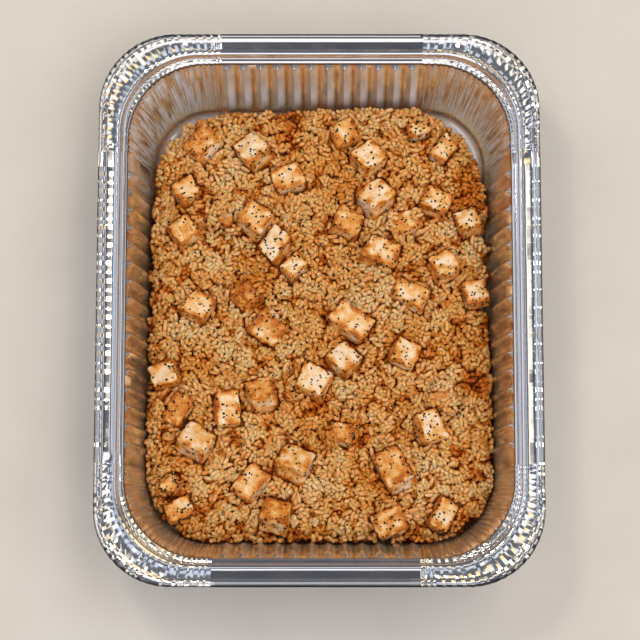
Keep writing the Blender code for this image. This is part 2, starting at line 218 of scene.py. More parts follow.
# Surroundings: their general colour, and panels, each with its direction, how far it reaches along X, Y and Z
# on a sphere of radius 1, and its colour
SURROUNDINGS = (0.14, 0.14, 0.15)
PANELS = (
    ((0.0, -0.62, 0.78), (0.5, 0.3, 0.5), (1.22, 1.13, 1.06)),
    ((-0.85, 0.15, 0.5), (0.3, 0.55, 0.36), (0.74, 0.79, 0.88)),
    ((0.85, -0.1, 0.5), (0.22, 0.45, 0.3), (0.75, 0.74, 0.74)),
    ((0.38, 0.66, 0.65), (0.3, 0.25, 0.3), (1.4, 1.0, 0.5)),
    ((-0.3, 0.1, 0.95), (0.07, 0.8, 0.6), (1.25, 1.05, 0.82)),
    ((0.3, 0.1, 0.95), (0.115, 0.8, 0.6), (1.5, 1.3, 1.06)),
    ((0.0, 0.17, 0.98), (0.17, 0.42, 0.5), (0.08, 0.08, 0.09)),
)
# Lights: name, place, size, power, colour, and whether shiny surfaces show it
LIGHTS = (
    ("key", (-1.1, 0.9, 1.8), 1.1, 6.6, (1.0, 0.97, 0.93), False),
    ("above", (1.2, 0.0, 2.2), 2.0, 22.8, (1.0, 0.98, 0.95), False),
    ("near", (0.3, -1.5, 1.7), 1.5, 5.2, (1.0, 0.98, 0.96), False),
    ("glint", (-0.55, 0.65, 1.6), 0.28, 4.5, (1.0, 0.88, 0.7), True),
)

# Camera
AIM = Vector((0.4, -8.9, 62.0)) * MM
CAMERA_DISTANCE = 1.49
CAMERA_TILT = math.radians(10.0)
LENS = 144.1


# Helpers

def linear(red, green, blue):
    """A colour given as display values from 0 to 255, as a shader colour."""
    values = np.array((red, green, blue)) / 255
    parts = np.where(values > 0.04045, ((values + 0.055) / 1.055) ** 2.4, values / 12.92)
    return (*[float(part) for part in parts], 1.0)


def noise_at(points, size, seed):
    """Smooth noise, from about -1 to 1, at each point, with features of this size."""
    scaled = np.asarray(points, float) / size
    shift = Vector((seed * 7.31, seed * 3.17, seed * 5.71))
    return np.array([noise.noise(Vector(point) + shift) for point in scaled])


def smooth_step(low, high, value):
    """0 below low, 1 above high, and an easy rise between them."""
    share = np.clip((value - low) / (high - low), 0.0, 1.0)
    return share * share * (3 - 2 * share)


def new_piece(name, points, face_lists, material, replaced=(), smooth=True):
    """A mesh object from arrays of points in millimetres and faces. It rides on the part's body."""
    mesh = bpy.data.meshes.new(name)
    corners = np.concatenate([faces.ravel() for faces in face_lists])
    sizes = np.concatenate([np.full(len(faces), faces.shape[1]) for faces in face_lists])
    starts = np.cumsum(sizes) - sizes
    mesh.vertices.add(len(points))
    mesh.vertices.foreach_set("co", (np.asarray(points) * MM).astype(np.float32).ravel())
    mesh.loops.add(len(corners))
    mesh.loops.foreach_set("vertex_index", corners.astype(np.int32))
    mesh.polygons.add(len(sizes))
    mesh.polygons.foreach_set("loop_start", starts.astype(np.int32))
    mesh.update(calc_edges=True)
    mesh.polygons.foreach_set("use_smooth", np.full(len(sizes), smooth))
    mesh.materials.append(material)
    piece = bpy.data.objects.new(name, mesh)
    bpy.context.scene.collection.objects.link(piece)
    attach(piece, "root")
    if replaced:
        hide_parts(*replaced)
    return piece


def set_attribute(piece, name, values):
    """Gives each vertex of the piece a number that its material reads."""
    attribute = piece.data.attributes.new(name, "FLOAT", "POINT")
    attribute.data.foreach_set("value", np.asarray(values, np.float32))


def joined_rings(rings, count):
    """Quads that join rings of this many points, each to the next one."""
    index = np.arange(count)
    after = (index + 1) % count
    return np.concatenate([
        np.stack((start + index, start + after, start + count + after, start + count + index), 1)
        for start in range(0, (rings - 1) * count, count)
    ])


def fan(start, count, tip):
    """Triangles that join a ring of this many points to a single one."""
    index = np.arange(count)
    return np.stack((start + index, start + (index + 1) % count, np.full(count, tip)), 1)


# Material helpers

def set_input(socket, value):
    """Sets a socket to a value, or links another node's output to it."""
    if isinstance(value, bpy.types.NodeSocket):
        socket.id_data.links.new(value, socket)
    else:
        socket.default_value = value


def set_inputs(node, **inputs):
    """Sets the node's sockets of these names."""
    for name, value in inputs.items():
        set_input(node.inputs[name.replace("_", " ")], value)


def add_node(tree, kind, **inputs):
    """A node of this kind, with its sockets set."""
    node = tree.nodes.new(kind)
    set_inputs(node, **inputs)
    return node


def add_operation(tree, kind, operation, *values):
    """The outputs of a Math or Vector Math node that works on values or other nodes' outputs."""
    node = tree.nodes.new(kind)
    node.operation = operation
    for socket, value in zip(node.inputs, values):
        set_input(socket, value)
    return node.outputs


def add_math(tree, operation, *values):
    """The result of a Math node."""
    return add_operation(tree, "ShaderNodeMath", operation, *values)["Value"]


def add_attribute(tree, name):
    """The number that set_attribute gave each vertex."""
    node = tree.nodes.new("ShaderNodeAttribute")
    node.attribute_name = name
    return node.outputs["Fac"]


def add_noise(tree, size, detail=3.0, roughness=0.55, stretch=(1.0, 1.0, 1.0)):
    """A noise texture with features of this size, in millimetres."""
    place = add_node(tree, "ShaderNodeTexCoord").outputs["Object"]
    mapped = add_node(tree, "ShaderNodeMapping", Vector=place, Scale=stretch).outputs["Vector"]
    texture = add_node(tree, "ShaderNodeTexNoise", Vector=mapped, Scale=1 / (size * MM))
    set_inputs(texture, Detail=detail, Roughness=roughness)
    return texture.outputs["Fac"]


def add_mottle(tree, size, amount, **options):
    """Noise about zero, times an amount."""
    centred = add_math(tree, "SUBTRACT", add_noise(tree, size, **options), 0.5)
    return add_math(tree, "MULTIPLY", centred, amount)


def add_smears(tree, size, low, high):
    """Soft noise spread from low to high."""
    spread = add_node(tree, "ShaderNodeMapRange", Value=add_noise(tree, size, detail=4.0))
    set_inputs(spread, From_Min=0.3, From_Max=0.7, To_Min=low, To_Max=high)
    return spread.outputs["Result"]


def add_ramp(tree, value, *stops):
    """The colour of this value, on a ramp of places and display colours."""
    ramp = add_node(tree, "ShaderNodeValToRGB", Fac=value)
    elements = ramp.color_ramp.elements
    while len(elements) < len(stops):
        elements.new(0.5)
    for element, (place, *colour) in zip(elements, stops):
        element.position = place
        element.color = linear(*colour)
    return ramp.outputs["Color"]


def add_bump(tree, height, distance, strength=1.0, **under):
    """A surface bumped to this height in millimetres, on top of another bump if one is given."""
    bump = add_node(tree, "ShaderNodeBump", Height=height, Distance=distance * MM, Strength=strength, **under)
    return bump.outputs["Normal"]


def new_material(name, **inputs):
    """A Principled material with these values on its shader's sockets, its node tree and its shader."""
    material = bpy.data.materials.new(name)
    material.use_nodes = True
    shader = material.node_tree.nodes["Principled BSDF"]
    set_inputs(shader, **inputs)
    return material, material.node_tree, shader


# Materials

def foil_material():
    """Bright rolled aluminium: glossy along the rim, duller on the walls, finely crushed in the corners."""
    material, tree, shader = new_material(
        "foil", Base_Color=linear(242, 242, 245), Metallic=1.0, Roughness=0.16,
    )
    crushed = add_attribute(tree, "crushed")
    wall = add_math(tree, "MULTIPLY", add_attribute(tree, "dull"), 0.07)
    corner = add_math(tree, "MULTIPLY", crushed, 0.02)
    both = add_math(tree, "ADD", wall, corner)
    roughness = add_math(tree, "ADD", add_smears(tree, 22.0, 0.09, 0.16), both)
    # Ramp of the foil's tint: bright metal, then golden for a sauce film and a painted reflection of the
    # rice, then dark for painted shade
    tint = add_ramp(
        tree, add_attribute(tree, "sauce_film_and_painted_light"), (0.0, 236, 242, 252), (0.5, 244, 221, 176), (0.9, 72, 62, 60),
    )
    # Painted shade: a dark grey mixed in under the curled edge and under the ledge
    darkened = add_node(
        tree, "ShaderNodeMixRGB", Fac=add_attribute(tree, "shadowed"), Color1=tint, Color2=linear(70, 68, 74),
    )
    wrinkles = add_bump(tree, add_noise(tree, 5.0), 0.05, 0.5)
    crinkles = add_noise(tree, 1.5, detail=2.0, stretch=(1.0, 1.0, 0.3))
    set_inputs(
        shader, Base_Color=darkened.outputs["Color"], Roughness=roughness,
        Metallic=add_math(tree, "SUBTRACT", 1.0, add_attribute(tree, "matt")),
        Normal=add_bump(tree, crinkles, 1.5, crushed, Normal=wrinkles),
    )
    return material


def outside_material():
    """Clean aluminium, for the pan's outside, that no food has touched."""
    material, tree, shader = new_material(
        "foil_outside", Base_Color=linear(236, 240, 248), Metallic=0.9, Roughness=0.2,
    )
    bumps = add_bump(tree, add_noise(tree, 6.0), 0.08, 0.6)
    set_inputs(shader, Roughness=add_smears(tree, 20.0, 0.16, 0.28), Normal=bumps)
    return material


def rice_material():
    """Rice coated in soy and oil: each grain has its own tone, which includes painted shade on deeper grains,
    with a little variation along it.
    """
    material, tree, shader = new_material(
        "rice", Roughness=0.3, Subsurface_Weight=0.85, Subsurface_Scale=0.0035,
        Subsurface_Radius=(1.0, 0.5, 0.2), Coat_Weight=0.3, Coat_Roughness=0.16,
        Specular_Tint=(1.0, 0.72, 0.4, 1.0),
    )
    shade = add_math(tree, "ADD", add_attribute(tree, "shade"), add_mottle(tree, 1.8, 0.45))
    colour = add_ramp(
        tree, shade, (0.0, 241, 199, 153), (0.28, 228, 171, 108), (0.52, 208, 134, 52), (0.76, 178, 88, 8),
        (1.0, 108, 36, 0),
    )
    bumps = add_bump(tree, add_noise(tree, 0.9, detail=2.0), 0.08, 0.5)
    set_inputs(shader, Base_Color=colour, Normal=bumps)
    return material


def core_material():
    """The rice deep in the heap, seen in the gaps between grains: brown like sauce-soaked rice, and darker as
    painted shade.
    """
    material, tree, shader = new_material("rice_core", Roughness=0.5, Coat_Weight=0.2, Coat_Roughness=0.3)
    mottle = add_noise(tree, 4.0, detail=4.0)
    # Darker browns than the grains: painted shade in the gaps
    colour = add_ramp(tree, mottle, (0.3, 112, 40, 0), (0.55, 160, 76, 5), (0.75, 196, 116, 30))
    set_inputs(shader, Base_Color=colour, Normal=add_bump(tree, add_noise(tree, 2.2), 0.6, 0.8))
    return material


def chicken_material():
    """Diced chicken: pale fibrous cuts that turn golden and brown where they were seared."""
    material, tree, shader = new_material(
        "chicken", Roughness=0.42, Subsurface_Weight=0.3, Subsurface_Scale=0.003,
        Subsurface_Radius=(1.0, 0.5, 0.25), Coat_Weight=0.15, Coat_Roughness=0.3,
    )
    sear = add_attribute(tree, "sear")
    soft = add_mottle(tree, 3.0, 0.9, roughness=0.65)
    speckled = add_math(tree, "MULTIPLY_ADD", sear, 1.6, 0.15)
    fine = add_mottle(tree, 1.0, speckled, detail=4.0, roughness=0.75)
    tone = add_math(tree, "ADD", add_math(tree, "ADD", sear, soft), fine)
    colour = add_ramp(
        tree, tone, (0.0, 247, 224, 198), (0.2, 242, 204, 154), (0.42, 231, 170, 90), (0.68, 210, 126, 34),
        (1.0, 172, 88, 14),
    )
    fibres = add_bump(tree, add_noise(tree, 2.2, detail=4.0, stretch=(0.3, 1.0, 2.4)), 0.5, 0.9)
    crust = add_bump(tree, add_noise(tree, 1.0, detail=4.0, roughness=0.65), 0.4, 0.9, Normal=fibres)
    set_inputs(shader, Base_Color=colour, Normal=crust)
    return material


def pepper_material():
    """Cracked black pepper, from near black to dark brown."""
    material, tree, shader = new_material("pepper", Roughness=0.7)
    colour = add_ramp(tree, add_noise(tree, 1.2), (0.4, 20, 13, 9), (0.75, 66, 40, 20))
    set_inputs(shader, Base_Color=colour)
    return material


# Foil pan

def blend_rings(first, last, steps):
    """Rings between two others, both included."""
    first, last = np.array(first), np.array(last)
    return [Ring(*(first + (last - first) * share)) for share in np.linspace(0.0, 1.0, steps + 1)]


def straight_stations(reach, ribs, pitch):
    """Places along one straight wall, each with how far out of the wall the rib stands there, from 0 to 1."""
    places = [(-reach, 0.0)]
    for index in range(ribs):
        middle = (index - (ribs - 1) / 2) * pitch
        for offset in RIB_STATIONS:
            crest = 1 - abs(offset) / RIB_HALF_WIDTH
            places.append((middle + offset, crest))
        if index < ribs - 1:
            places.append((middle + pitch / 2, 0.0))
    places.append((reach, 0.0))
    return places


def corner_stations(generator):
    """Shares of the way round one corner, each with the pleat's depth there and a small crease's depth."""
    widths = generator.uniform(0.6, 1.4, PLEATS_A_CORNER)
    ends = np.concatenate(([0.0], np.cumsum(widths))) / widths.sum()
    places = []
    for start, end in zip(ends, ends[1:]):
        ridge = start + (end - start) * generator.uniform(0.5, 0.68)
        depth = generator.uniform(0.7, 1.2)
        creases = generator.uniform(-1.0, 1.0, 4)
        rise = ridge - start
        places.append((start, depth, creases[0]))
        places.append((start + 0.12 * rise, depth * 0.88, creases[1]))
        places.append((start + 0.88 * rise, depth * 0.12, creases[2]))
        places.append((ridge, 0.0, creases[3]))
    return places[1:]


def corner_place(share, across, along, radius, wall_reach, next_reach):
    """A point round a corner and the way out of the tray there, in the frame of the wall before it."""
    before = along - radius - wall_reach
    arc = radius * math.pi / 2
    after = across - radius - next_reach
    travelled = share * (before + arc + after)
    if travelled < before:
        return (across, wall_reach + travelled), (1.0, 0.0)
    if travelled > before + arc:
        return (across - radius - (travelled - before - arc), along), (0.0, 1.0)
    turn = (travelled - before) / radius
    out = (math.cos(turn), math.sin(turn))
    return (across - radius + radius * out[0], along - radius + radius * out[1]), out


def ring_points(ring, straights, corners, slants):
    """The points of one ring of the tray, anticlockwise from above, and the way out of the tray at each."""
    half_width = TRAY_WIDTH / 2 - ring.side_inset
    half_length = TRAY_LENGTH / 2 - ring.end_inset
    down = max(0.0, (56.0 - ring.height) / 56.0)
    crease = (0.28 if ring.height < 56.0 else 0.08) * min(1.0, ring.pleat_in)
    points = []
    ways = []
    for wall in range(4):
        out = np.array((math.cos(wall * math.pi / 2), math.sin(wall * math.pi / 2)))
        round_about = np.array((-out[1], out[0]))
        across, along = (half_width, half_length) if wall % 2 == 0 else (half_length, half_width)
        reach, next_reach = (SIDE_STRAIGHT, END_STRAIGHT) if wall % 2 == 0 else (END_STRAIGHT, SIDE_STRAIGHT)
        for place, rib in straights[wall % 2]:
            flat = out * (across - ring.rib_depth * rib) + round_about * place
            points.append((flat[0], flat[1], ring.height))
            ways.append(out)
        for index, (share, pleat, small) in enumerate(corners[wall]):
            slanted = share + slants[wall][index] * down
            place, way_out = corner_place(slanted, across, along, ring.corner_radius, reach, next_reach)
            drawn_in = ring.pleat_in * pleat + crease * small
            flat = out * (place[0] - drawn_in * way_out[0]) + round_about * (place[1] - drawn_in * way_out[1])
            points.append((flat[0], flat[1], ring.height - ring.pleat_down * pleat))
            ways.append(out * way_out[0] + round_about * way_out[1])
    return np.array(points), np.array(ways)


def crease_columns(pan, straights, corners, count):
    """Makes the pleats' folds crisp, and the curled edge faceted, round the corners."""
    folds = []
    in_corner = []
    for wall in range(4):
        ribs = [rib for _, rib in straights[wall % 2]]
        bends = np.abs(np.diff(ribs, 2)) > 0.04
        folds += [False, *bends, False]
        folds += [index % 4 in (2, 3) for index in range(len(corners[wall]))]
        in_corner += [False] * len(ribs) + [True] * len(corners[wall])
    mesh = pan.data
    ends = np.empty(2 * len(mesh.edges), np.int32)
    mesh.edges.foreach_get("vertices", ends)
    rings, columns = np.divmod(ends.reshape(-1, 2), count)
    folded = (columns[:, 0] == columns[:, 1]) & np.array(folds)[columns[:, 0]]
    sharp = folded & (rings.max(1) < len(RIM_RINGS) + WALL_STEPS)
    mesh.attributes.new("sharp_edge", "BOOLEAN", "EDGE").data.foreach_set("value", sharp)
    ring, column = np.divmod(np.arange(len(mesh.polygons)), count)
    mesh.polygons.foreach_set("use_smooth", ~(np.array(in_corner)[column] & (ring < BEAD_RINGS)))


def painted_sheen_and_shade_columns(straights, corners):
    """How much painted sheen each column of the pan gets: most on its ends' ribs, on the slopes that face
    right. The flats between ribs get -1, which darkens them as painted shade.
    """
    columns = []
    for wall in range(4):
        for place, rib in straights[wall % 2]:
            index = round(place / END_RIB_PITCH - 0.5)
            offset = place - (index + 0.5) * END_RIB_PITCH
            facing_right = offset < 0 if wall == 1 else offset > 0
            on_rib = abs(offset) <= RIB_HALF_WIDTH + 0.01
            # Flats between ribs get -1: painted shade, darker than the ribs
            between = -1.0 if abs(rib) < 0.001 and not on_rib else 0.0
            # Painted sheen on the end walls' ribs: full on slopes that face right, less on the others, less
            # on the near end than the far end
            painted_sheen = (1.0 if facing_right else 0.35) * (1.0 if wall == 1 else 0.4)
            columns.append(painted_sheen if wall % 2 == 1 and on_rib else between)
        columns += [0.0] * len(corners[wall])
    return np.array(columns)


def crushed_share(points):
    """How crushed the foil is at each point: only round the corners."""
    turn = np.degrees(np.arctan2(points[:, 1] / TRAY_LENGTH, points[:, 0] / TRAY_WIDTH)) % 360
    crushed = np.zeros(len(points))
    for middle_turn, amount in CRUSHED_CORNERS:
        crushed = np.maximum(crushed, amount * (1 - smooth_step(8.0, 22.0, np.abs(turn - middle_turn))))
    return crushed


def shaped_ring(ring, straights, corners, slants):
    """The points of one ring, with dents, crushed corners and the side flanges' slope and ripples."""
    points, ways = ring_points(ring, straights, corners, slants)
    on_wall = smooth_step(8.0, 20.0, ring.height) * (1 - smooth_step(50.0, 55.0, ring.height))
    on_rim = smooth_step(56.0, 60.0, ring.height)
    dents = noise_at(points, 30.0, 1) * 0.35 + noise_at(points, 11.0, 2) * 0.1
    crumple = crushed_share(points) * noise_at(points * (1, 1, 0.55), 3.6, 8)
    points[:, :2] -= ways * ((dents + 0.9 * crumple) * on_wall)[:, None]
    points[:, 2] -= (noise_at(points, 13.0, 3) * 0.16 + 0.16) * on_rim
    outwards = np.clip(FLANGE_INSET - ring.side_inset, 0.0, FLANGE_WIDTH)
    swell = 0.04 * (0.8 + noise_at(points * (0, 1, 0), 16.0, 6))
    ripples = swell * np.cos(2 * np.pi * points[:, 1] / RIPPLE_PITCH)
    ripples += 0.04 * noise_at(points * (0, 1, 0), 7.0, 5)
    points[:, 2] -= (SIDE_FLANGE_SLOPE + ripples) * outwards * ways[:, 0] ** 2
    return points


def mark_pan(pan, points, count, painted_sheen_and_shade_column):
    """Says where the foil is dull, tinted by a sauce film with painted reflections and painted shade,
    darkened by painted shade, matt or crushed.
    """
    heights = points[:, 2]
    ring, column = np.divmod(np.arange(len(points)), count)
    on_wall = smooth_step(2.0, 12.0, heights) * (1 - smooth_step(52.0, 56.0, heights))
    on_floor = 1 - smooth_step(0.5, 1.6, heights)
    off_floor = smooth_step(1.0, 3.0, heights) * (1 - smooth_step(50.0, 53.0, heights))
    # Painted shade: a dark line on the rings under the curled edge, and a dark band under the ledge at the
    # top of the walls
    under_curl = (ring >= 4) & (ring < 7)
    under_ledge = smooth_step(54.3, 54.6, heights) * (1 - smooth_step(55.7, 56.0, heights))
    painted_sheen_and_shade = painted_sheen_and_shade_column[column] * on_wall
    # Painted sheen on the ribs' right-facing slopes, stronger towards the foot of the wall: it whitens the
    # tint and makes the foil matt there
    bright_slope = np.maximum(painted_sheen_and_shade, 0.0) * (1.1 - 0.5 * smooth_step(18.0, 46.0, heights))
    crushed = crushed_share(points) * on_wall
    # In crushed corners, pale streaks are a painted reflection of the sky and dark streaks are painted shade
    # in the creases
    streaks = np.stack((column * 0.9, column * 0.0, heights / 28.0), 1)
    pale_folds = crushed * smooth_step(-0.2, 0.1, noise_at(streaks, 1.0, 12))
    dark_folds = crushed * smooth_step(0.1, 0.3, noise_at(streaks, 1.0, 13))
    # Golden on the walls off the floor: a sauce film and a painted reflection of the rice. Whiter where
    # painted sheen falls, and darker on the flats between ribs as painted shade.
    sauce_film_and_painted_light = 0.5 * off_floor * (1 - bright_slope) - 0.16 * np.minimum(painted_sheen_and_shade, 0.0)
    flat_share = 0.25 * off_floor + 0.5 * bright_slope + 0.45 * pale_folds
    set_attribute(pan, "dull", on_wall + 0.8 * on_floor)
    set_attribute(pan, "sauce_film_and_painted_light", sauce_film_and_painted_light + 0.3 * dark_folds - 0.75 * pale_folds)
    set_attribute(pan, "shadowed", np.maximum(0.85 * under_ledge, under_curl))
    set_attribute(pan, "matt", np.maximum(flat_share, 0.85 * on_floor))
    set_attribute(pan, "crushed", crushed)


def make_pan(material, outside):
    """The pan: rings joined from the curled edge down to the floor, then thickened downwards."""
    generator = np.random.default_rng(3)
    straights = (
        straight_stations(SIDE_STRAIGHT, SIDE_RIBS, SIDE_RIB_PITCH),
        straight_stations(END_STRAIGHT, END_RIBS, END_RIB_PITCH),
    )
    corners = [corner_stations(generator) for _ in range(4)]
    slants = []
    for wall, corner in enumerate(corners):
        shares = np.array([share for share, _, _ in corner])
        swing = noise_at(np.stack((shares * 5, shares * 0 + wall, shares * 0), 1), 1.0, 4)
        slants.append(0.05 * swing * np.minimum(1.0, 6 * np.minimum(shares, 1 - shares)))
    rings = (*RIM_RINGS, *blend_rings(WALL_TOP, WALL_FOOT, WALL_STEPS), *FLOOR_RINGS)
    layers = [shaped_ring(ring, straights, corners, slants) for ring in rings]
    layers += [layers[-1] * (scale, scale, 1.0) for scale in FLOOR_SCALES]
    count = len(layers[0])
    points = np.concatenate((*layers, [(0.0, 0.0, FOIL)]))
    middle = len(points) - 1
    faces = [joined_rings(len(layers), count), fan(middle - count, count, middle)]
    pan = new_piece("foil_pan", points, faces, material, ["tray"])
    crease_columns(pan, straights, corners, count)
    mark_pan(pan, points, count, painted_sheen_and_shade_columns(straights, corners))
    pan.data.materials.append(outside)
    sheet = pan.modifiers.new("thickness", "SOLIDIFY")
    sheet.thickness = FOIL * MM
    sheet.offset = -1.0
    sheet.use_even_offset = False
    sheet.material_offset = 1


# Rice raster

def edge_distance(x, y):
    """Roughly how far inside the heap's outline each point lies."""
    distance = np.empty_like(x)
    for quadrant, (centre_x, centre_y, radius_x, radius_y) in enumerate(HEAP_CORNERS):
        right = quadrant in (0, 3)
        far = quadrant in (0, 1)
        here = ((x > 0) == right) & ((y > 0) == far)
        over_x = np.maximum(0.0, (x - centre_x) * (1 if right else -1))
        over_y = np.maximum(0.0, (y - centre_y) * (1 if far else -1))
        round_corner = (1 - np.hypot(over_x / radius_x, over_y / radius_y)) * min(radius_x, radius_y)
        straight = np.minimum(radius_x - over_x, radius_y - over_y)
        found = np.where((over_x > 0) & (over_y > 0), round_corner, straight)
        distance[here] = found[here]
    return distance


def raster_places():
    """The x and y of every cell of the raster."""
    across = RASTER_LEFT + CELL * np.arange(RASTER_COLUMNS)
    along = RASTER_NEAR + CELL * np.arange(RASTER_ROWS)
    return np.meshgrid(across, along)


def level_at(heights, flat):
    """The raster's heights at these points."""
    columns = np.clip(((flat[:, 0] - RASTER_LEFT) / CELL).astype(int), 0, RASTER_COLUMNS - 1)
    rows = np.clip(((flat[:, 1] - RASTER_NEAR) / CELL).astype(int), 0, RASTER_ROWS - 1)
    return heights[rows, columns]


def coarse_noise(x, y, size, seed_height, step=4):
    """Noise over the raster, worked out on every few cells and filled in between them."""
    rows, columns = x.shape
    coarse_x, coarse_y = x[::step, ::step], y[::step, ::step]
    values = np.array([
        noise.noise(Vector((a / size, b / size, seed_height)))
        for a, b in zip(coarse_x.ravel(), coarse_y.ravel())
    ]).reshape(coarse_x.shape)
    down = np.minimum(np.arange(rows) / step, coarse_x.shape[0] - 1.001)
    right = np.minimum(np.arange(columns) / step, coarse_x.shape[1] - 1.001)
    row, column = down.astype(int), right.astype(int)
    part_down, part_right = (down - row)[:, None], (right - column)[None, :]
    filled = values[:, column] * (1 - part_right) + values[:, column + 1] * part_right
    return filled[row] * (1 - part_down) + filled[row + 1] * part_down


def heap_heights(x, y, edge):
    """Height of the rice's smooth surface over the raster, as in the CAD model."""
    mounds = MOUND_HEIGHT * coarse_noise(x, y, MOUND_WIDTH, 1.7)
    dips = DIP_DEPTH * coarse_noise(x, y, DIP_WIDTH, 5.3)
    fall = EDGE_FALL * np.exp(-np.maximum(0.0, edge) / EDGE_FALL_WIDTH)
    return HEAP_HEIGHT + mounds + dips - fall


def heap_form(x, y):
    """How far inside the heap's outline each cell lies, and its surface there, without and with clefts."""
    edge = edge_distance(x, y) + FAR_REACH * smooth_step(80.0, 112.0, y)
    for place_x, place_y, radius, depth in SHORT_PLACES:
        edge -= depth * (1 - smooth_step(0.4 * radius, radius, np.hypot(x - place_x, y - place_y)))
    smooth = heap_heights(x, y, edge)
    edge -= RAGGED_DEPTH * (0.15 + 0.8 * coarse_noise(x, y, 8.5, 6.6, step=3))
    smooth -= EDGE_ROUNDING * (1 - smooth_step(0.0, EDGE_ROUNDING_WIDTH, edge))
    clefts = 1 - smooth_step(0.0, CLEFT_WIDTH, np.abs(coarse_noise(x, y, CLUMP_SIZE, 2.2, step=3)))
    clumps = CLUMP_HEIGHT * coarse_noise(x, y, 6.5, 8.8, step=3)
    return edge, smooth, smooth + clumps - CLEFT_DEPTH * clefts


def pan_heights(x, y):
    """Height of the pan's inner surface over the raster."""
    rings = (*blend_rings(WALL_TOP, WALL_FOOT, 3), *FLOOR_RINGS)
    distances = []
    for ring in rings:
        over_x = np.abs(x) - (TRAY_WIDTH / 2 - ring.side_inset - ring.rib_depth) + ring.corner_radius
        over_y = np.abs(y) - (TRAY_LENGTH / 2 - ring.end_inset - ring.rib_depth) + ring.corner_radius
        outside = np.hypot(np.maximum(over_x, 0), np.maximum(over_y, 0))
        distances.append(outside + np.minimum(np.maximum(over_x, over_y), 0) - ring.corner_radius)
    heights = np.full_like(x, 60.0)
    for (upper, lower), (outer, inner) in zip(zip(rings, rings[1:]), zip(distances, distances[1:])):
        share = np.clip(-outer / np.maximum(inner - outer, 1e-6), 0.0, 1.0)
        inside = outer < 0
        heights[inside] = (upper.height + (lower.height - upper.height) * share)[inside]
    heights[distances[-1] < 0] = FOIL
    return heights


def dice_planes(node):
    """The six cut faces of a diced piece, each as its way out and its distance from the piece's centre."""
    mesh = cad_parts[node].data
    cuts = []
    for face in mesh.polygons:
        same = next((cut for cut in cuts if cut[0].dot(face.normal) > SAME_PLANE), None)
        if same:
            same[1] += face.area
        else:
            cuts.append([face.normal.copy(), face.area, face.center.copy()])
    cuts.sort(key=lambda cut: cut[1])
    centre = sum((vertex.co for vertex in mesh.vertices), Vector()) / len(mesh.vertices)
    normals = np.array([normal for normal, _, _ in cuts[-6:]])
    reaches = np.array([normal.dot(middle - centre) for normal, _, middle in cuts[-6:]]) / MM
    return np.array(centre) / MM, normals, reaches


def lay_dice(heights, x, y, planes):
    """Raises the raster to a diced piece's upper surface. Gives the cells that it covers."""
    centre, normals, reaches = planes
    top = np.full_like(x, np.inf)
    bottom = np.full_like(x, -np.inf)
    for normal, reach in zip(normals, reaches):
        rest = reach - normal[0] * (x - centre[0]) - normal[1] * (y - centre[1])
        level = centre[2] + rest / normal[2]
        if normal[2] > 0:
            top = np.minimum(top, level)
        else:
            bottom = np.maximum(bottom, level)
    covered = top > bottom
    heights[covered] = np.maximum(heights[covered], top[covered])
    return covered


# Grains

def rotation(yaw, pitch):
    """The matrix that pitches a grain's long axis up and then turns it about the vertical."""
    cos_yaw, sin_yaw = math.cos(yaw), math.sin(yaw)
    cos_pitch, sin_pitch = math.cos(pitch), math.sin(pitch)
    return np.array((
        (cos_yaw * cos_pitch, -sin_yaw, -cos_yaw * sin_pitch),
        (sin_yaw * cos_pitch, cos_yaw, -sin_yaw * sin_pitch),
        (sin_pitch, 0.0, cos_pitch),
    ))


def grain_footprint(half_length, yaw, pitch):
    """Heights of a grain's lower and upper surface about its centre, over the cells that it covers."""
    turned = rotation(yaw, pitch)
    radii = np.array((half_length, GRAIN_RADIUS, GRAIN_RADIUS)) * CLOSENESS
    form = turned @ np.diag(1 / radii ** 2) @ turned.T
    reach = int(math.ceil(half_length / CELL))
    steps = np.arange(-reach, reach + 1) * CELL
    x, y = np.meshgrid(steps, steps)
    slope = form[0, 2] * x + form[1, 2] * y
    flat = form[0, 0] * x * x + 2 * form[0, 1] * x * y + form[1, 1] * y * y - 1
    inside = slope * slope - form[2, 2] * flat
    root = np.sqrt(np.maximum(inside, 0.0))
    lower = np.where(inside > 0, (-slope - root) / form[2, 2], np.inf)
    upper = np.where(inside > 0, (-slope + root) / form[2, 2], -np.inf)
    rows = np.flatnonzero((inside > 0).any(1))
    columns = np.flatnonzero((inside > 0).any(0))
    cut = (slice(rows[0], rows[-1] + 1), slice(columns[0], columns[-1] + 1))
    return lower[cut], upper[cut], rows[0] - reach, columns[0] - reach


